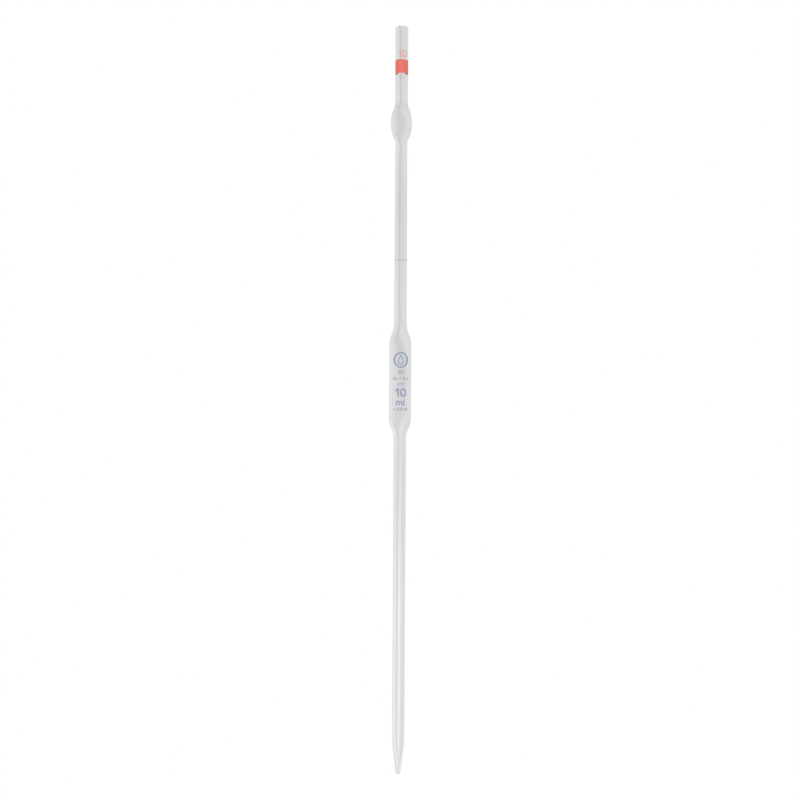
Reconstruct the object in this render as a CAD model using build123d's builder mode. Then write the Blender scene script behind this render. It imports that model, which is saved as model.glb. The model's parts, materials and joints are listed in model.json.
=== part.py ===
from build123d import *
from math import cos, pi, sin
import os

# A one-mark volumetric pipette for 10 ml, with a safety bulb. Millimetres.
# The origin is the centre of the jet's open end. +Z runs up the bore to the mouthpiece,
# and the printed side faces -Y. The glass is one run of tube, made from lengths that are
# sealed end to end in a flame, so neighbouring lengths meet on a flat ring. The marks are
# films of enamel that stand on the outside of the glass.

# ---- Driving dimensions ----
total_length = 440.0
capacity = 10_000.0  # mm3, from the jet's end up to the ring mark

bore_radius = 2.52
stem_radius = 3.66
neck_base_radius = 3.72  # the neck is drawn a little finer towards its top
neck_top_radius = 3.52
mouth_radius = 3.75
bulb_radius = 6.52
bulb_bore_radius = 5.59
safety_radius = 6.29

# ---- Jet: a ground cone, then a slight taper up to the full stem ----
jet_end_radius = 1.45
jet_end_bore = 0.42
jet_edge = 0.15
cone_top = 14.7
cone_top_radius = 3.22
cone_top_bore = 1.85
taper_start = 22.0
taper_start_radius = 3.58
taper_start_bore = 2.40

# ---- Heights of the flame seals, from the jet upwards ----
jet_seal = 34.0
stem_seal = 197.3
neck_seal = 265.6
safety_centre = 383.4
safety_half_height = 12.4
safety_bottom_seal = safety_centre - safety_half_height
safety_top_seal = safety_centre + safety_half_height

# ---- Bulbs and rim ----
lower_shoulder = 12.2
upper_shoulder = 13.8
bulb_bottom = stem_seal + lower_shoulder
bulb_top = neck_seal - upper_shoulder
safety_arc = 21.5  # radius of the safety bulb's belly, seen from the side
safety_wall = 0.85
safety_blend = 5.0
rim_round = 0.5

# ---- Enamel ----
film = 0.05
band_bottom = 412.1
band_height = 8.0
band_gap = 6.5  # the band is left open at the back by this much, seen from behind
ring_height = 0.25

# Lettering: the size of a digit over all, and the width of its stroke.
fine_digit, fine_stroke = 1.8, 0.3
class_digit, class_stroke = 2.1, 0.38
band_digit, band_stroke = 4.1, 0.42
bold_digit, bold_stroke = 5.1, 1.0
unit_digit, unit_stroke = 3.25, 0.62
lettering = "Relief SingleLine CAD"
digit_share = 0.68  # a digit's centre line is this share of the font size
oversize = 10

# Heights of the prints' centre lines, and how far round from -Y they sit, in radians.
band_numerals_height = 423.4
emblem_height = 243.5
class_mark_height = 236.4
delivery_mark_height = 232.7
temperature_mark_height = 229.3
capacity_numerals_height = 224.5
unit_letters_height = 218.6
tolerance_mark_height = 214.7
band_turn = 0.16
bulb_turn = 0.06

# Emblem: a drop in a ring.
ring_across = 8.5
ring_tall = 9.4
ring_line = 1.0
drop_base = -0.9
drop_radius = 1.85
drop_tip = 2.8
drop_tip_radius = 0.2
drop_line = 0.6

# Temperature mark: its two digits, a degree ring and a round C, placed along the line.
degrees_digits_place = -1.25
degree_ring_place = (0.45, 0.5)
degree_ring_radius = 0.38
degree_ring_hole = 0.14
celsius_place = 1.72
celsius_radius = 0.72
celsius_gap = 100  # opening of the C, in degrees


def s_bend(start, end):
    """Draw two equal arcs from start to end, both parallel to the bore where they end."""
    middle = ((start[0] + end[0]) / 2, (start[1] + end[1]) / 2)
    heading = 1 if end[1] > start[1] else -1
    first = TangentArc(start, middle, tangent=(0, heading))
    TangentArc(middle, end, tangent=first % 1)


def jet_bore():
    """Draw the outflow hole, from the jet's end up to the full bore."""
    Spline(
        (jet_end_bore, 0),
        (cone_top_bore, cone_top),
        (taper_start_bore, taper_start),
        (bore_radius, jet_seal),
        tangents=((0, 1), (0, 1)),
    )


def bulb_bore():
    """Draw the inside of the measuring bulb, from the stem's bore up to the neck's bore."""
    s_bend((bore_radius, stem_seal), (bulb_bore_radius, bulb_bottom))
    Line((bulb_bore_radius, bulb_bottom), (bulb_bore_radius, bulb_top))
    s_bend((bulb_bore_radius, bulb_top), (bore_radius, neck_seal))


def belly(bottom_radius, top_radius, widest, arc_radius):
    """Draw one side of the safety bulb: straight, a wide arc, and straight again."""
    lower_reach = (arc_radius**2 - (arc_radius - widest + bottom_radius) ** 2) ** 0.5
    upper_reach = (arc_radius**2 - (arc_radius - widest + top_radius) ** 2) ** 0.5
    lower_corner = (bottom_radius, safety_centre - lower_reach)
    upper_corner = (top_radius, safety_centre + upper_reach)
    Line((bottom_radius, safety_bottom_seal), lower_corner)
    ThreePointArc(lower_corner, (widest, safety_centre), upper_corner)
    Line(upper_corner, (top_radius, safety_top_seal))


def neck_radius_at(height):
    """Outer radius of the drawn neck."""
    share = (height - neck_seal) / (safety_bottom_seal - neck_seal)
    return neck_base_radius + share * (neck_top_radius - neck_base_radius)


def line_of_text(words, digit, stroke, stretch=1.0):
    """A flat, centred line of text. It is drawn oversize and scaled down, because the
    smallest signs are too fine to draw at their own size."""
    with BuildSketch() as flat:
        Text(
            words,
            font_size=oversize * (digit - stroke) / digit_share,
            font=lettering,
            single_line_width=oversize * stroke,
            align=(Align.CENTER, Align.CENTER),
        )
        scale(by=(stretch / oversize, 1 / oversize, 1))
    return flat


def drop(inset):
    """A flat drop: a round base drawn up to a small rounded tip, inset all round."""
    with BuildSketch() as shape:
        with Locations((0, drop_base)):
            Circle(drop_radius - inset)
        with Locations((0, drop_tip - 2 * inset)):
            Circle(drop_tip_radius)
        make_hull()
    return shape.sketch


def printed(flat, wall_radius, height, turn):
    """Fire a flat drawing onto a tube as a film. Each separate shape is laid on along its
    own radius, so a wide line of letters follows the curve of the glass."""
    with BuildPart() as enamel:
        for shape in flat.sketch.faces():
            box = shape.bounding_box()
            across = box.center().X
            angle = turn + across / wall_radius
            behind = (wall_radius**2 - (box.size.X / 2) ** 2) ** 0.5 - film
            facing = Plane(
                (behind * sin(angle), -behind * cos(angle), height),
                x_dir=(cos(angle), sin(angle), 0),
                z_dir=(sin(angle), -cos(angle), 0),
            )
            with BuildSketch(facing):
                add(shape.moved(Location((-across, 0))))
            extrude(amount=wall_radius + 2 * film - behind)
        box = enamel.part.bounding_box()
        with BuildSketch(Plane.XY.offset(box.min.Z - film)):
            Circle(wall_radius + film)
            Circle(wall_radius, mode=Mode.SUBTRACT)
        extrude(amount=box.size.Z + 2 * film, mode=Mode.INTERSECT)
    return enamel


# ---- Jet tip: thick glass round a fine outflow hole ----
with BuildPart() as jet_tip:
    with BuildSketch(Plane.XZ):
        with BuildLine():
            cone = Line((jet_end_radius, 0), (cone_top_radius, cone_top))
            Spline(cone @ 1, (taper_start_radius, taper_start), tangents=(cone % 1, (0, 1)))
            Line((taper_start_radius, taper_start), (stem_radius, jet_seal))
            Line((stem_radius, jet_seal), (bore_radius, jet_seal))
            jet_bore()
            Line((jet_end_bore, 0), (jet_end_radius, 0))
        make_face()
    revolve(axis=Axis.Z)
    ground_end = jet_tip.faces().sort_by(Axis.Z)[0]
    chamfer(ground_end.edges().sort_by(SortBy.RADIUS)[-1], jet_edge)

# ---- Delivery tube: the long straight stem ----
with BuildPart() as delivery_tube:
    with BuildSketch(Plane.XY.offset(jet_seal)):
        Circle(stem_radius)
        Circle(bore_radius, mode=Mode.SUBTRACT)
    extrude(amount=stem_seal - jet_seal)

# ---- Measuring bulb: a cylinder between two shoulders ----
with BuildPart() as measuring_bulb:
    with BuildSketch(Plane.XZ):
        with BuildLine():
            s_bend((stem_radius, stem_seal), (bulb_radius, bulb_bottom))
            Line((bulb_radius, bulb_bottom), (bulb_radius, bulb_top))
            s_bend((bulb_radius, bulb_top), (neck_base_radius, neck_seal))
            Line((neck_base_radius, neck_seal), (bore_radius, neck_seal))
            bulb_bore()
            Line((bore_radius, stem_seal), (stem_radius, stem_seal))
        make_face()
    revolve(axis=Axis.Z)

# ---- Neck tube: from the measuring bulb up to the safety bulb ----
with BuildPart() as neck_tube:
    with BuildSketch(Plane.XZ):
        with BuildLine():
            Polyline(
                (neck_base_radius, neck_seal),
                (neck_top_radius, safety_bottom_seal),
                (bore_radius, safety_bottom_seal),
                (bore_radius, neck_seal),
                close=True,
            )
        make_face()
    revolve(axis=Axis.Z)

# ---- Safety bulb: a blown olive that catches liquid drawn too far ----
with BuildPart() as safety_bulb:
    with BuildSketch(Plane.XZ):
        with BuildLine():
            belly(neck_top_radius, mouth_radius, safety_radius, safety_arc)
            belly(bore_radius, bore_radius, safety_radius - safety_wall, safety_arc - safety_wall)
            Line((bore_radius, safety_bottom_seal), (neck_top_radius, safety_bottom_seal))
            Line((bore_radius, safety_top_seal), (mouth_radius, safety_top_seal))
        make_face()
    revolve(axis=Axis.Z)
    bends = safety_bulb.edges().filter_by(GeomType.CIRCLE).group_by(Axis.Z)[1:-1]
    fillet([edge for level in bends for edge in level], safety_blend)

# ---- Mouthpiece tube: plain tube with a fire-polished rim ----
with BuildPart() as mouthpiece_tube:
    with BuildSketch(Plane.XY.offset(safety_top_seal)):
        Circle(mouth_radius)
        Circle(bore_radius, mode=Mode.SUBTRACT)
    extrude(amount=total_length - safety_top_seal)
    rim = mouthpiece_tube.faces().sort_by(Axis.Z)[-1]
    fillet(rim.edges(), rim_round)

# ---- Height of the ring mark: the neck is filled until the glass holds its capacity ----
with BuildPart() as content_below_neck:
    with BuildSketch(Plane.XZ):
        with BuildLine():
            jet_bore()
            Line((bore_radius, jet_seal), (bore_radius, stem_seal))
            bulb_bore()
            Polyline((bore_radius, neck_seal), (0, neck_seal), (0, 0), (jet_end_bore, 0))
        make_face()
    revolve(axis=Axis.Z)
content_of_neck = capacity - content_below_neck.part.volume
ring_mark_height = neck_seal + content_of_neck / (pi * bore_radius**2)

# ---- Ring mark: one thin line right round the neck ----
with BuildPart() as ring_mark:
    with BuildSketch(Plane.XZ):
        with BuildLine():
            low = ring_mark_height - ring_height / 2
            high = ring_mark_height + ring_height / 2
            Polyline(
                (neck_radius_at(low), low),
                (neck_radius_at(low) + film, low),
                (neck_radius_at(high) + film, high),
                (neck_radius_at(high), high),
                close=True,
            )
        make_face()
    revolve(axis=Axis.Z)

# ---- Colour code: one red band stands for this capacity. It stops short at the back. ----
with BuildPart() as colour_code_band:
    with BuildSketch(Plane.XY.offset(band_bottom)):
        Circle(mouth_radius + film)
        Circle(mouth_radius, mode=Mode.SUBTRACT)
        with Locations((0, mouth_radius)):
            Rectangle(band_gap, mouth_radius, mode=Mode.SUBTRACT)
    extrude(amount=band_height)

# ---- Numerals over the colour band ----
small_ten = line_of_text("10", band_digit, band_stroke, stretch=0.9)
band_numerals = printed(small_ten, mouth_radius, band_numerals_height, band_turn)

# ---- Emblem, drawn narrower than tall so that it lies on the curved glass as a circle ----
with BuildSketch() as drop_in_ring:
    Ellipse(ring_across / 2, ring_tall / 2)
    Ellipse(ring_across / 2 - ring_line, ring_tall / 2 - ring_line, mode=Mode.SUBTRACT)
    add(drop(inset=0))
    add(drop(inset=drop_line), mode=Mode.SUBTRACT)
emblem = printed(drop_in_ring, bulb_radius, emblem_height, bulb_turn)

# ---- Accuracy class ----
class_text = line_of_text("AS", class_digit, class_stroke, stretch=1.15)
class_mark = printed(class_text, bulb_radius, class_mark_height, bulb_turn)

# ---- Delivery: to be drained, with a wait in seconds ----
delivery_text = line_of_text("Ex + 5 s", fine_digit, fine_stroke, stretch=1.2)
delivery_mark = printed(delivery_text, bulb_radius, delivery_mark_height, bulb_turn)

# ---- Temperature that the capacity holds for ----
degrees_digits = line_of_text("20", fine_digit, fine_stroke, stretch=0.95)
with BuildSketch() as temperature_text:
    add(degrees_digits.sketch.moved(Location((degrees_digits_place, 0))))
    with Locations(degree_ring_place):
        Circle(degree_ring_radius)
        Circle(degree_ring_hole, mode=Mode.SUBTRACT)
    letter = CenterArc((celsius_place, 0), celsius_radius, celsius_gap / 2, 360 - celsius_gap)
    SlotArc(letter, fine_stroke)
temperature_mark = printed(temperature_text, bulb_radius, temperature_mark_height, bulb_turn)

# ---- Capacity, large and bold, with its unit below ----
large_ten = line_of_text("10", bold_digit, bold_stroke, stretch=1.05)
capacity_numerals = printed(large_ten, bulb_radius, capacity_numerals_height, bulb_turn)
unit_text = line_of_text("ml", unit_digit, unit_stroke, stretch=1.22)
unit_letters = printed(unit_text, bulb_radius, unit_letters_height, bulb_turn)

# ---- Tolerance of the capacity ----
tolerance_text = line_of_text("± 0,02 ml", fine_digit, fine_stroke, stretch=0.87)
tolerance_mark = printed(tolerance_text, bulb_radius, tolerance_mark_height, bulb_turn)

# ---- One STEP file for each piece ----
pieces = {
    "jet_tip": jet_tip,
    "delivery_tube": delivery_tube,
    "measuring_bulb": measuring_bulb,
    "neck_tube": neck_tube,
    "safety_bulb": safety_bulb,
    "mouthpiece_tube": mouthpiece_tube,
    "band_numerals": band_numerals,
    "colour_code_band": colour_code_band,
    "ring_mark": ring_mark,
    "emblem": emblem,
    "class_mark": class_mark,
    "delivery_mark": delivery_mark,
    "temperature_mark": temperature_mark,
    "capacity_numerals": capacity_numerals,
    "unit_letters": unit_letters,
    "tolerance_mark": tolerance_mark,
}
os.makedirs("parts", exist_ok=True)
for name, piece in pieces.items():
    piece.part.label = name
    export_step(piece.part, f"parts/{name}.step")
print("ring mark at", round(ring_mark_height, 2), "mm")
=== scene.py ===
"""Looks of a 10 ml one-mark volumetric pipette: clear drawn glass with fired enamel marks.

The glass is drawn again as six finer lengths that meet at invisible flame seals. Each
enamel mark lies a hair above the glass, so that the two surfaces never coincide. Units are
metres; MM and DEG turn named values into them.
"""

import json
import math

import bmesh
import bpy
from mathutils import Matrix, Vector, noise

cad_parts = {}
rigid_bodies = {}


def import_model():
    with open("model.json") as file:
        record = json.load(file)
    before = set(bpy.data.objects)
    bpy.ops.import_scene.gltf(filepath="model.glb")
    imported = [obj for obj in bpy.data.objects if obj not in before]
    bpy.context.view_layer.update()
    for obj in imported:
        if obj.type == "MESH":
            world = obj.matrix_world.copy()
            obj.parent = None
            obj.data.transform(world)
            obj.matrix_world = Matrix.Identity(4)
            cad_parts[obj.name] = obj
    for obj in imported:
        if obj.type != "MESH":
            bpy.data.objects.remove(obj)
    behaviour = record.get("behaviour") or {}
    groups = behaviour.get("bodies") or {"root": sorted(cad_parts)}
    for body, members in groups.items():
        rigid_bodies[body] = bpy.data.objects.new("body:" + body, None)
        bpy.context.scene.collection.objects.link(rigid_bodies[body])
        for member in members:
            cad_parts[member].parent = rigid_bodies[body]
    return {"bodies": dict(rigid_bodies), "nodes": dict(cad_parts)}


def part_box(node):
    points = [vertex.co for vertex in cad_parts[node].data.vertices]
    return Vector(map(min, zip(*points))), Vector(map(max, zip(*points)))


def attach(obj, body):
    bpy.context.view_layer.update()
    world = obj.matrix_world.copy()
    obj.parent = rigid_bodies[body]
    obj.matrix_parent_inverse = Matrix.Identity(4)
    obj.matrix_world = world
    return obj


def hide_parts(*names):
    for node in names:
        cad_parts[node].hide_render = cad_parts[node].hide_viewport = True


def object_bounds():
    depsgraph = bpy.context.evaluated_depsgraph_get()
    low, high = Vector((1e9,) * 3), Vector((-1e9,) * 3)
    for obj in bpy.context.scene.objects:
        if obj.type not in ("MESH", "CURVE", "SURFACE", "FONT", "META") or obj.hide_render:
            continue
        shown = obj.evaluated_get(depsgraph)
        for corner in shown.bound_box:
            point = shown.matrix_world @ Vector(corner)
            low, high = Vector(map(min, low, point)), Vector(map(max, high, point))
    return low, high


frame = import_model()
cad_low, cad_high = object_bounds()
cad_nodes = frame["nodes"]

MM = 0.001
DEG = math.pi / 180

# ---- What the frame says ----
ROOT = next(iter(frame["bodies"]))
JET_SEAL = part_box("jet_tip")[1].z
STEM_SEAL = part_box("delivery_tube")[1].z
NECK_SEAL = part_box("measuring_bulb")[1].z
SAFETY_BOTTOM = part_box("safety_bulb")[0].z
SAFETY_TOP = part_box("safety_bulb")[1].z
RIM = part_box("mouthpiece_tube")[1].z
STEM_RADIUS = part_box("delivery_tube")[1].x
BULB_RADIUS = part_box("measuring_bulb")[1].x
NECK_BASE_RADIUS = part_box("neck_tube")[1].x
SAFETY_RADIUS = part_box("safety_bulb")[1].x
MOUTH_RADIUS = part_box("mouthpiece_tube")[1].x
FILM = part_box("colour_code_band")[1].x - MOUTH_RADIUS

# ---- What the boxes can't say: walls and curves of the glass ----
BORE = 2.52 * MM  # every bore here is a radius
NECK_TOP_RADIUS = 3.52 * MM
BULB_WALL = 0.93 * MM
LOWER_SHOULDER = 12.2 * MM
UPPER_SHOULDER = 13.8 * MM
SAFETY_WALL = 0.85 * MM
SAFETY_ARC = 21.5 * MM
SAFETY_BLEND = 5.0 * MM
RIM_ROUND = 0.5 * MM

JET_END_RADIUS = 1.45 * MM
JET_END_BORE = 0.42 * MM
JET_EDGE = 0.15 * MM
CONE_TOP = 14.7 * MM
CONE_TOP_RADIUS = 3.22 * MM
CONE_TOP_BORE = 1.85 * MM
TAPER_START = 22.0 * MM
TAPER_START_RADIUS = 3.58 * MM
TAPER_START_BORE = 2.40 * MM

SEAL_SWELL = 0.015 * MM  # the glass ran a little thicker where two lengths were sealed
SEAL_SPREAD = 1.4 * MM

# ---- Fineness of the meshes ----
SIDES = 160
FINE_STEP = 0.4 * MM  # between rings of points on curves and near seals
LONG_STEP = 2.0 * MM  # the same on straight tube
SEAL_REACH = 6.0 * MM  # the fine steps go this far from each seal
SHARP_ANGLE = 40 * DEG
WELD = 0.0005 * MM  # points of a sign nearer than this become one

# ---- Enamel ----
LIFT = 0.01 * MM  # gap between the glass and the enamel's underside
BAND_OPENING = 6.5 * MM
BAND_GAP = 2 * math.asin(BAND_OPENING / 2 / MOUTH_RADIUS)
BAND_WAVER = 0.05 * MM
RING_WAVER = 0.015 * MM
WAVER_SCALE = 1.7  # how finely a painted edge wavers


# ======================= Shape of the glass =======================

def smooth(share):
    """0 to 1 with level ends."""
    share = min(max(share, 0.0), 1.0)
    return share * share * (3 - 2 * share)


def s_bend(height, low, high, low_radius, high_radius):
    """Radius on two equal arcs that join a tube at low to another at high."""
    rise = high - low
    step = high_radius - low_radius
    arc = (rise * rise / 4 + step * step / 4) / abs(step)
    from_end = min(height - low, high - height)
    drop = math.copysign(arc - math.sqrt(arc * arc - from_end * from_end), step)
    return low_radius + drop if height < (low + high) / 2 else high_radius - drop


def belly(height, tube_radius, widest, arc):
    """Radius on one side of the safety bulb: a wide arc blended into the tube."""
    away = abs(height - (SAFETY_BOTTOM + SAFETY_TOP) / 2)
    arc_centre = widest - arc
    reach = arc + SAFETY_BLEND
    blend_away = math.sqrt(reach**2 - (tube_radius + SAFETY_BLEND - arc_centre) ** 2)
    if away >= blend_away:
        return tube_radius
    if away >= blend_away * arc / reach:
        return tube_radius + SAFETY_BLEND - math.sqrt(SAFETY_BLEND**2 - (away - blend_away) ** 2)
    return arc_centre + math.sqrt(arc * arc - away * away)


def hermite(height, low, high, low_radius, high_radius, low_slope, high_slope):
    """Radius on a smooth curve with the given slopes at its two ends."""
    span = high - low
    t = (height - low) / span
    return (
        (2 * t**3 - 3 * t**2 + 1) * low_radius
        + (t**3 - 2 * t**2 + t) * span * low_slope
        + (3 * t**2 - 2 * t**3) * high_radius
        + (t**3 - t**2) * span * high_slope
    )


def seal_swell(height):
    """How much thicker the glass is round a flame seal, where two lengths ran together."""
    swell = 0.0
    for seal in (JET_SEAL, STEM_SEAL, NECK_SEAL, SAFETY_BOTTOM, SAFETY_TOP):
        swell += SEAL_SWELL * math.exp(-(((height - seal) / SEAL_SPREAD) ** 2))
    return swell


def outer_radius(height):
    """Outside of the glass at a height above the jet's end."""
    return drawn_outside(height) + seal_swell(height)


def inner_radius(height):
    """Inside of the glass at a height above the jet's end."""
    return drawn_inside(height) - 2 * seal_swell(height)


def drawn_outside(height):
    """Outside of the glass before it was sealed."""
    cone_slope = (CONE_TOP_RADIUS - JET_END_RADIUS) / CONE_TOP
    if height < CONE_TOP:
        return JET_END_RADIUS + cone_slope * height
    if height < TAPER_START:
        ends = (CONE_TOP_RADIUS, TAPER_START_RADIUS)
        return hermite(height, CONE_TOP, TAPER_START, *ends, cone_slope, 0)
    if height < JET_SEAL:
        share = smooth((height - TAPER_START) / (JET_SEAL - TAPER_START))
        return TAPER_START_RADIUS + share * (STEM_RADIUS - TAPER_START_RADIUS)
    if height < STEM_SEAL:
        return STEM_RADIUS
    if height < STEM_SEAL + LOWER_SHOULDER:
        return s_bend(height, STEM_SEAL, STEM_SEAL + LOWER_SHOULDER, STEM_RADIUS, BULB_RADIUS)
    if height < NECK_SEAL - UPPER_SHOULDER:
        return BULB_RADIUS
    if height < NECK_SEAL:
        return s_bend(height, NECK_SEAL - UPPER_SHOULDER, NECK_SEAL, BULB_RADIUS, NECK_BASE_RADIUS)
    if height < SAFETY_BOTTOM:
        share = (height - NECK_SEAL) / (SAFETY_BOTTOM - NECK_SEAL)
        return NECK_BASE_RADIUS + share * (NECK_TOP_RADIUS - NECK_BASE_RADIUS)
    if height < SAFETY_TOP:
        lower_half = height < (SAFETY_BOTTOM + SAFETY_TOP) / 2
        tube_radius = NECK_TOP_RADIUS if lower_half else MOUTH_RADIUS
        return belly(height, tube_radius, SAFETY_RADIUS, SAFETY_ARC)
    return MOUTH_RADIUS


def drawn_inside(height):
    """Inside of the glass before it was sealed."""
    taper_slope = (BORE - TAPER_START_BORE) / (JET_SEAL - TAPER_START)
    cone_slope = (TAPER_START_BORE - CONE_TOP_BORE) / (TAPER_START - CONE_TOP)
    bulb_bore = BULB_RADIUS - BULB_WALL
    if height < CONE_TOP:
        return hermite(height, 0, CONE_TOP, JET_END_BORE, CONE_TOP_BORE, 0, cone_slope)
    if height < TAPER_START:
        ends = (CONE_TOP_BORE, TAPER_START_BORE)
        return hermite(height, CONE_TOP, TAPER_START, *ends, cone_slope, taper_slope)
    if height < JET_SEAL:
        return hermite(height, TAPER_START, JET_SEAL, TAPER_START_BORE, BORE, taper_slope, 0)
    if STEM_SEAL < height < STEM_SEAL + LOWER_SHOULDER:
        return s_bend(height, STEM_SEAL, STEM_SEAL + LOWER_SHOULDER, BORE, bulb_bore)
    if STEM_SEAL < height < NECK_SEAL - UPPER_SHOULDER:
        return bulb_bore
    if STEM_SEAL < height < NECK_SEAL:
        return s_bend(height, NECK_SEAL - UPPER_SHOULDER, NECK_SEAL, bulb_bore, BORE)
    if SAFETY_BOTTOM < height < SAFETY_TOP:
        return belly(height, BORE, SAFETY_RADIUS - SAFETY_WALL, SAFETY_ARC - SAFETY_WALL)
    return BORE


def heights_between(low, high, step):
    """Evenly spaced heights from low to high, both included."""
    count = max(1, round((high - low) / step))
    return [low + (high - low) * i / count for i in range(count + 1)]


def quarter_round(radius, height, size, start, steps=8):
    """Points on a quarter round, from an angle in degrees on by 90."""
    angles = [(start + 90 * i / steps) * DEG for i in range(steps + 1)]
    return [(radius + size * math.cos(a), height + size * math.sin(a)) for a in angles]


# ======================= Meshes =======================

def new_piece(name, mesh, *materials):
    """Link a finished mesh as a piece of the object."""
    piece = bpy.data.objects.new(name, mesh)
    bpy.context.scene.collection.objects.link(piece)
    for material in materials:
        mesh.materials.append(material)
    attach(piece, ROOT)
    return piece


def lathe(name, outline, seals=(), waver=0.0, gap=0.0):
    """A closed mesh of revolution from a closed outline of (radius, height) points. The
    stretch after each point listed in seals gets the second material. waver moves the
    points up and down round the tube, as on a painted edge. gap is left open at the back,
    which faces +Y; it is an angle."""
    turn = 2 * math.pi - gap
    start = math.pi / 2 + gap / 2
    count = SIDES if gap == 0 else round(SIDES * turn / (2 * math.pi)) + 1
    corners = []
    for radius, height in outline:
        for side in range(count):
            angle = start + turn * side / (count if gap == 0 else count - 1)
            place = Vector((math.cos(angle), math.sin(angle), height / MM))
            lift = waver * noise.noise(place * WAVER_SCALE)
            corners.append((radius * place.x, radius * place.y, height + lift))
    faces = []
    slots = []
    for ring in range(len(outline)):
        here = ring * count
        above = (ring + 1) % len(outline) * count
        for side in range(count if gap == 0 else count - 1):
            beside = (side + 1) % count
            faces.append((here + side, here + beside, above + beside, above + side))
            slots.append(1 if ring in seals else 0)
    if gap:
        first_end = [ring * count for ring in range(len(outline))]
        faces += [first_end, [corner + count - 1 for corner in reversed(first_end)]]
        slots += [0, 0]
    mesh = bpy.data.meshes.new(name)
    mesh.from_pydata(corners, [], faces)
    mesh.polygons.foreach_set("material_index", slots)
    mesh.shade_smooth()
    mesh.set_sharp_from_angle(angle=SHARP_ANGLE)
    return mesh


def glass_length(node, step, foot=(), head=(), foot_height=0.0, head_height=0.0):
    """One length of glass. It ends in a flat seal unless foot or head gives the points of
    a finished end, which fills foot_height or head_height."""
    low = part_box(node)[0].z + foot_height
    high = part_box(node)[1].z - head_height
    levels = heights_between(low, low + SEAL_REACH, FINE_STEP)[:-1]
    levels += heights_between(low + SEAL_REACH, high - SEAL_REACH, step)
    levels += heights_between(high - SEAL_REACH, high, FINE_STEP)[1:]
    outside = [(outer_radius(z), z) for z in levels]
    inside = [(inner_radius(z), z) for z in reversed(levels)]
    outline = outside + list(head) + inside + list(foot)
    seals = []
    if not head:
        seals.append(len(outside) - 1)
    if not foot:
        seals.append(len(outline) - 1)
    name = "glass_" + node
    mesh = lathe(name, outline, seals)
    piece = new_piece(name, mesh, glass, clear_seal)
    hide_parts(node)
    return piece


def painted_ring(node, material, waver, gap=0.0):
    """A band of enamel round the tube, with rounded edges."""
    low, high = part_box(node)[0].z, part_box(node)[1].z
    edge = FILM / 2
    outline = [(outer_radius(z) + LIFT, z) for z in (high, low)]
    outline += [(outer_radius(low) + edge, low)]
    outline += [(outer_radius(z) + FILM, z) for z in heights_between(low + edge, high - edge, FINE_STEP)]
    outline += [(outer_radius(high) + edge, high)]
    name = "enamel_" + node
    piece = new_piece(name, lathe(name, outline, waver=waver, gap=gap), material)
    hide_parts(node)
    return piece


def film_normals(mesh):
    """Normals that make a film's front and back as smooth as the tube under them, and leave
    its thin sides flat. The front's long, thin triangles would shade unevenly otherwise."""
    normals = []
    for face in mesh.polygons:
        for index in face.vertices:
            outward = mesh.vertices[index].co * Vector((1, 1, 0))
            outward.normalize()
            facing = face.normal.dot(outward)
            on_tube = abs(facing) > math.cos(SHARP_ANGLE)
            normals.append(outward * math.copysign(1, facing) if on_tube else face.normal.copy())
    return normals


def printed_sign(node, material):
    """Lettering or a sign. It is the CAD's film, lifted off the glass by a hair."""
    mesh = cad_nodes[node].data.copy()
    shape = bmesh.new()
    shape.from_mesh(mesh)
    bmesh.ops.remove_doubles(shape, verts=shape.verts, dist=WELD)
    for vert in shape.verts:
        wall = outer_radius(vert.co.z)
        radius = vert.co.xy.length
        wanted = wall + FILM if radius > wall + FILM / 2 else wall + LIFT
        vert.co.x *= wanted / radius
        vert.co.y *= wanted / radius
    shape.to_mesh(mesh)
    shape.free()
    mesh.materials.clear()
    mesh.shade_smooth()
    mesh.normals_split_custom_set(film_normals(mesh))
    piece = new_piece("enamel_" + node, mesh, material)
    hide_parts(node)
    return piece


# ======================= Materials =======================

GLASS_INDEX = 1.49
STREAK_DEPTH = 0.01 * MM
GRAIN_DEPTH = 0.01 * MM
GRAIN_SPREAD = 0.2  # of roughness, between the enamel's glossy and matt grains
GLAZE = 0.15  # weight of the clear coat that firing leaves on the enamel
GLAZE_ROUGHNESS = 0.2


def new_material(name):
    """An empty node material, its tree and its output node."""
    material = bpy.data.materials.new(name)
    material.use_nodes = True
    tree = material.node_tree
    tree.nodes.clear()
    output = tree.nodes.new("ShaderNodeOutputMaterial")
    return material, tree, output


def noise_texture(tree, scale, detail=2.0, stretch=(1, 1, 1)):
    """Noise in the object's own frame. scale is in features per millimetre."""
    place = tree.nodes.new("ShaderNodeTexCoord")
    mapping = tree.nodes.new("ShaderNodeMapping")
    mapping.inputs["Scale"].default_value = [scale / MM * s for s in stretch]
    texture = tree.nodes.new("ShaderNodeTexNoise")
    texture.inputs["Scale"].default_value = 1.0
    texture.inputs["Detail"].default_value = detail
    tree.links.new(place.outputs["Object"], mapping.inputs["Vector"])
    tree.links.new(mapping.outputs["Vector"], texture.inputs["Vector"])
    return texture.outputs["Fac"]


def ranged(tree, value, low, high, from_low=0.3, from_high=0.7):
    """Spread a noise value over low to high."""
    node = tree.nodes.new("ShaderNodeMapRange")
    node.inputs["From Min"].default_value = from_low
    node.inputs["From Max"].default_value = from_high
    node.inputs["To Min"].default_value = low
    node.inputs["To Max"].default_value = high
    tree.links.new(value, node.inputs["Value"])
    return node.outputs["Result"]


def mixed_colour(tree, value, first, second):
    """The first colour where value is 0, the second where it is 1."""
    node = tree.nodes.new("ShaderNodeMix")
    node.data_type = "RGBA"
    node.inputs["A"].default_value = (*first, 1)
    node.inputs["B"].default_value = (*second, 1)
    tree.links.new(value, node.inputs["Factor"])
    return node.outputs["Result"]


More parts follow.
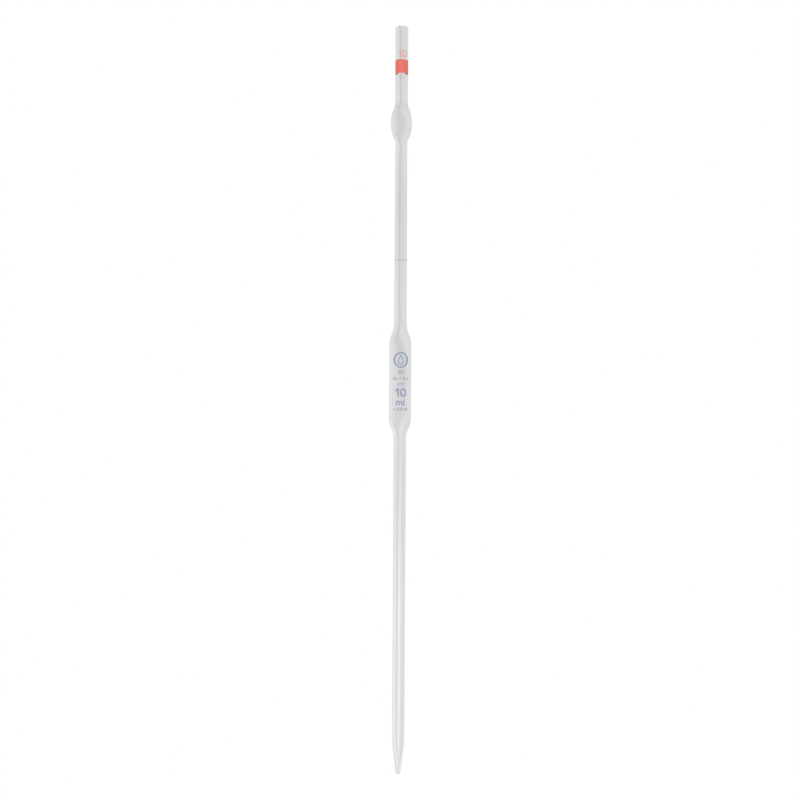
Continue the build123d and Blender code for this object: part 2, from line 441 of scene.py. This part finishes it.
def bumped(tree, height, strength, distance):
    """Normals of a surface that stands up by height."""
    node = tree.nodes.new("ShaderNodeBump")
    node.inputs["Strength"].default_value = strength
    node.inputs["Distance"].default_value = distance
    tree.links.new(height, node.inputs["Height"])
    return node.outputs["Normal"]


def drawn_glass():
    """Clear glass with the faint long streaks that drawing leaves along a tube."""
    material, tree, output = new_material("drawn_glass")
    shader = tree.nodes.new("ShaderNodeBsdfPrincipled")
    streaks = noise_texture(tree, 1.6, stretch=(1, 1, 0.02))
    haze = noise_texture(tree, 0.35, detail=4.0, stretch=(1, 1, 0.3))
    tint = mixed_colour(tree, haze, (0.985, 0.985, 0.987), (0.995, 0.995, 0.996))
    tree.links.new(tint, shader.inputs["Base Color"])
    tree.links.new(ranged(tree, haze, 0.0, 0.03), shader.inputs["Roughness"])
    tree.links.new(bumped(tree, streaks, 0.15, STREAK_DEPTH), shader.inputs["Normal"])
    shader.inputs["IOR"].default_value = GLASS_INDEX
    shader.inputs["Transmission Weight"].default_value = 1.0
    tree.links.new(shader.outputs["BSDF"], output.inputs["Surface"])
    return material


def seal_glass():
    """The inside of a flame seal: glass meets the same glass, so nothing shows."""
    material, tree, output = new_material("clear_seal")
    shader = tree.nodes.new("ShaderNodeBsdfTransparent")
    tree.links.new(shader.outputs["BSDF"], output.inputs["Surface"])
    return material


def fired_enamel(name, thin, thick, gloss, clearness, cover=1.0):
    """Fired enamel in clouds of a thin and a thick colour, with a fine grain. It is a film
    of coloured glass, so some light goes through it: clearness is that share. gloss is its
    lowest roughness, and cover is the share of the glass that its grains hide."""
    material, tree, output = new_material(name)
    surface = tree.nodes.new("ShaderNodeBsdfPrincipled")
    body = tree.nodes.new("ShaderNodeBsdfTranslucent")
    mix = tree.nodes.new("ShaderNodeMixShader")
    clouds = noise_texture(tree, 0.9, detail=3.0)
    grain = noise_texture(tree, 9.0, detail=2.0)
    colour = mixed_colour(tree, ranged(tree, clouds, 0, 1), thin, thick)
    tree.links.new(colour, surface.inputs["Base Color"])
    tree.links.new(colour, body.inputs["Color"])
    tree.links.new(ranged(tree, grain, gloss, gloss + GRAIN_SPREAD), surface.inputs["Roughness"])
    tree.links.new(bumped(tree, grain, 0.25, GRAIN_DEPTH), surface.inputs["Normal"])
    surface.inputs["Coat Weight"].default_value = GLAZE
    surface.inputs["Coat Roughness"].default_value = GLAZE_ROUGHNESS
    mix.inputs["Fac"].default_value = clearness
    tree.links.new(surface.outputs["BSDF"], mix.inputs[1])
    tree.links.new(body.outputs["BSDF"], mix.inputs[2])
    if cover < 1:
        bare = tree.nodes.new("ShaderNodeBsdfTransparent")
        covered = tree.nodes.new("ShaderNodeMixShader")
        covered.inputs["Fac"].default_value = cover
        tree.links.new(bare.outputs["BSDF"], covered.inputs[1])
        tree.links.new(mix.outputs["Shader"], covered.inputs[2])
        mix = covered
    tree.links.new(mix.outputs["Shader"], output.inputs["Surface"])
    return material


glass = drawn_glass()
clear_seal = seal_glass()
red_enamel = fired_enamel(
    "red_enamel", thin=(0.90, 0.21, 0.165), thick=(0.86, 0.17, 0.125), gloss=0.25, clearness=0.15
)
blue_enamel = fired_enamel(
    "blue_enamel", thin=(0.38, 0.43, 0.58), thick=(0.31, 0.36, 0.53), gloss=0.4, clearness=0.15
)
ring_enamel = fired_enamel(
    "ring_enamel", thin=(0.54, 0.57, 0.70), thick=(0.48, 0.52, 0.67), gloss=0.4, clearness=0.15, cover=0.4
)


# ======================= Pieces =======================

jet_foot = [(JET_END_BORE + JET_EDGE / 2, 0.0), (JET_END_RADIUS - JET_EDGE, 0.0)]
rim_height = RIM - RIM_ROUND
rim_head = quarter_round(MOUTH_RADIUS - RIM_ROUND, rim_height, RIM_ROUND, 0)[1:]
rim_head += quarter_round(BORE + RIM_ROUND, rim_height, RIM_ROUND, 90)[:-1]

glass_length("jet_tip", FINE_STEP, foot=jet_foot, foot_height=JET_EDGE)
glass_length("delivery_tube", LONG_STEP)
glass_length("measuring_bulb", FINE_STEP)
glass_length("neck_tube", LONG_STEP)
glass_length("safety_bulb", FINE_STEP)
glass_length("mouthpiece_tube", LONG_STEP, head=rim_head, head_height=RIM_ROUND)

painted_ring("colour_code_band", red_enamel, BAND_WAVER, BAND_GAP)
painted_ring("ring_mark", ring_enamel, RING_WAVER)
printed_sign("band_numerals", red_enamel)
for sign in ("emblem", "class_mark", "delivery_mark", "temperature_mark",
             "capacity_numerals", "unit_letters", "tolerance_mark"):
    printed_sign(sign, blue_enamel)


# ======================= Studio =======================

CAMERA_AWAY = 0.590
CAMERA_LEVEL = 0.2201
CAMERA_VIEW = 0.4722  # width that the picture covers at the object
CAMERA_ROLL = 0.3026 * DEG
SENSOR = 36.0
NEAREST_SEEN = 0.01

KEY_AWAY = 1.0
KEY_WIDTH = 0.8
KEY_HEIGHT = 1.0
KEY_POWER = 5.0

FLOOR_SIZE = 12.0
FLOOR_DROP = 0.2 * MM  # below the jet

# Light of the studio's walls, where 1 is white. Directions are turns to the right of the
# camera's view and rises above the horizon.
WALL_LIGHT = 0.74
OVERHEAD_LIGHT = -0.04  # added overhead, so it takes light away
BELOW_FADE = (-14 * DEG, 6 * DEG)
OVERHEAD_FADE = (12 * DEG, 24 * DEG)
BEHIND_CAMERA = -100 * DEG  # turns below this run on past 180 degrees instead

# How far the gap in the light moves right at the height of each bulb, and over what rise.
BULB_RISE, BULB_SPREAD, BULB_SHIFT = 1 * DEG, 3.5 * DEG, 6.5 * DEG
SAFETY_RISE, SAFETY_SPREAD, SAFETY_SHIFT = 15.4 * DEG, 1.8 * DEG, 4.5 * DEG

LIGHT_BOUNCES = 1024  # light led along a glass wall is mirrored many times before it leaves


def maths(tree, operation, first, second=0.0):
    """One operation on two numbers or sockets."""
    node = tree.nodes.new("ShaderNodeMath")
    node.operation = operation
    for socket, value in zip(node.inputs, (first, second)):
        if isinstance(value, (int, float)):
            socket.default_value = value
        else:
            tree.links.new(value, socket)
    return node.outputs["Value"]


def soft_step(tree, value, low, high):
    """0 below low to 1 above high, softly."""
    node = tree.nodes.new("ShaderNodeMapRange")
    node.interpolation_type = "SMOOTHSTEP"
    node.inputs["From Min"].default_value = low
    node.inputs["From Max"].default_value = high
    tree.links.new(value, node.inputs["Value"])
    return node.outputs["Result"]


def near_level(tree, rise, level, spread):
    """1 where the rise is level, fading over spread above and below it."""
    away = maths(tree, "DIVIDE", maths(tree, "SUBTRACT", rise, level), spread)
    squared = maths(tree, "MULTIPLY", away, away)
    return maths(tree, "EXPONENT", maths(tree, "MULTIPLY", squared, -1.0))


def soft_card(tree, turn, left, right, softness):
    """1 between two directions, fading over softness at each edge. All in radians."""
    rising = soft_step(tree, turn, left - softness, left + softness)
    falling = soft_step(tree, turn, right - softness, right + softness)
    return maths(tree, "SUBTRACT", rising, falling)


def studio_world():
    """A white cyclorama for the camera, and a light grey studio for everything the glass
    bends or mirrors. The studio turns with the camera, as a photographer's would."""
    world = bpy.data.worlds.new("studio")
    bpy.context.scene.world = world
    world.use_nodes = True
    tree = world.node_tree
    tree.nodes.clear()
    output = tree.nodes.new("ShaderNodeOutputWorld")

    place = tree.nodes.new("ShaderNodeTexCoord")
    axes = tree.nodes.new("ShaderNodeSeparateXYZ")
    tree.links.new(place.outputs["Camera"], axes.inputs["Vector"])
    turn = maths(tree, "ARCTAN2", axes.outputs["X"], axes.outputs["Z"])
    rise = maths(tree, "ARCSINE", axes.outputs["Y"])
    below = maths(tree, "SUBTRACT", 1.0, soft_step(tree, rise, *BELOW_FADE))
    overhead = soft_step(tree, rise, *OVERHEAD_FADE)

    wrapped = maths(tree, "MULTIPLY", maths(tree, "LESS_THAN", turn, BEHIND_CAMERA), 360 * DEG)
    turn_round = maths(tree, "ADD", turn, wrapped)
    at_bulb = near_level(tree, rise, BULB_RISE, BULB_SPREAD)
    at_safety = near_level(tree, rise, SAFETY_RISE, SAFETY_SPREAD)
    bulb_shift = maths(tree, "MULTIPLY", at_bulb, BULB_SHIFT)
    safety_shift = maths(tree, "MULTIPLY", at_safety, SAFETY_SHIFT)
    turn_from_gap = maths(tree, "SUBTRACT", maths(tree, "SUBTRACT", turn, bulb_shift), safety_shift)

    # For each card: the light it adds above and below the horizon, its left and right edge
    # in degrees from straight ahead, and how softly it fades there. Below 0 it takes light.
    cards = [
        (turn, 0.03, 0.11, -120, -18, 8),             # long white panel on the left
        (turn_from_gap, -0.13, -0.08, -8, -1.5, 4),   # gap beside the panel
        (turn, 0.0, 0.19, -3.5, 4.5, 4),              # lit table top straight behind
        (turn, -0.01, -0.03, 8, 60, 8),               # weaker panel on the right
        (turn_round, -0.15, 0.10, 100, 260, 30),      # the room behind the camera
    ]
    brightness = maths(tree, "ADD", WALL_LIGHT, maths(tree, "MULTIPLY", overhead, OVERHEAD_LIGHT))
    for direction, light_above, light_below, left, right, softness in cards:
        extra_below = maths(tree, "MULTIPLY", below, light_below - light_above)
        light = maths(tree, "ADD", light_above, extra_below)
        card = soft_card(tree, direction, left * DEG, right * DEG, softness * DEG)
        brightness = maths(tree, "ADD", brightness, maths(tree, "MULTIPLY", card, light))

    # For each level: its rise in degrees, how far it fades above and below, and the light
    # it adds all round.
    levels = [
        (10.5, 3.0, -0.035),  # shade level with the neck
        (15.4, 1.8, 0.02),    # light level with the safety bulb
        (-6.0, 3.0, -0.025),  # shade level with the top of the stem
    ]
    for level, spread, light in levels:
        near = near_level(tree, rise, level * DEG, spread * DEG)
        brightness = maths(tree, "ADD", brightness, maths(tree, "MULTIPLY", near, light))

    seen = tree.nodes.new("ShaderNodeBackground")
    seen.inputs["Color"].default_value = (1, 1, 1, 1)
    lit = tree.nodes.new("ShaderNodeBackground")
    lit.inputs["Color"].default_value = (1, 1, 1, 1)
    tree.links.new(brightness, lit.inputs["Strength"])
    path = tree.nodes.new("ShaderNodeLightPath")
    mix = tree.nodes.new("ShaderNodeMixShader")
    tree.links.new(path.outputs["Is Camera Ray"], mix.inputs["Fac"])
    tree.links.new(lit.outputs["Background"], mix.inputs[1])
    tree.links.new(seen.outputs["Background"], mix.inputs[2])
    tree.links.new(mix.outputs["Shader"], output.inputs["Surface"])


def key_light(name, turn):
    """A broad soft light, turned round the pipette from the front. It lights the enamel but
    isn't mirrored in the glass."""
    data = bpy.data.lights.new(name, "AREA")
    data.shape = "RECTANGLE"
    data.size = KEY_WIDTH
    data.size_y = KEY_HEIGHT
    data.energy = KEY_POWER
    item = bpy.data.objects.new(name, data)
    item.location = (KEY_AWAY * math.sin(turn), -KEY_AWAY * math.cos(turn), CAMERA_LEVEL)
    item.rotation_euler = (90 * DEG, 0, turn)
    item.visible_camera = False
    item.visible_glossy = False
    item.visible_transmission = False
    bpy.context.scene.collection.objects.link(item)


def floor():
    """A pale floor just under the jet. Only the camera sees it: the glass bends the studio."""
    material, tree, output = new_material("pale_floor")
    shader = tree.nodes.new("ShaderNodeEmission")
    unseen = tree.nodes.new("ShaderNodeBsdfTransparent")
    path = tree.nodes.new("ShaderNodeLightPath")
    mix = tree.nodes.new("ShaderNodeMixShader")
    tree.links.new(path.outputs["Is Camera Ray"], mix.inputs["Fac"])
    tree.links.new(unseen.outputs["BSDF"], mix.inputs[1])
    tree.links.new(shader.outputs["Emission"], mix.inputs[2])
    tree.links.new(mix.outputs["Shader"], output.inputs["Surface"])
    bpy.ops.mesh.primitive_plane_add(size=FLOOR_SIZE, location=(0, 0, cad_low.z - FLOOR_DROP))
    plane = bpy.context.object
    plane.name = "floor"
    plane.data.materials.append(material)
    plane.visible_diffuse = False
    plane.visible_transmission = False
    plane.visible_glossy = False


def camera():
    """Level with the middle of the pipette, a little over its own length away."""
    data = bpy.data.cameras.new("camera")
    data.sensor_width = SENSOR
    data.lens = SENSOR * CAMERA_AWAY / CAMERA_VIEW
    data.clip_start = NEAREST_SEEN
    item = bpy.data.objects.new("camera", data)
    item.location = (0, -CAMERA_AWAY, CAMERA_LEVEL)
    item.rotation_euler = (90 * DEG, 0, 0)
    item.rotation_euler.rotate_axis("Z", CAMERA_ROLL)
    bpy.context.scene.collection.objects.link(item)
    bpy.context.scene.camera = item


def light_paths():
    """Plain colours, and paths long enough for light inside the glass."""
    scene = bpy.context.scene
    scene.view_settings.view_transform = "Standard"
    scene.cycles.max_bounces = LIGHT_BOUNCES
    scene.cycles.transmission_bounces = LIGHT_BOUNCES
    scene.cycles.glossy_bounces = LIGHT_BOUNCES
    scene.cycles.diffuse_bounces = LIGHT_BOUNCES
    scene.cycles.transparent_max_bounces = LIGHT_BOUNCES


studio_world()
key_light("front_light", 0)
key_light("back_light", 180 * DEG)
floor()
camera()
light_paths()
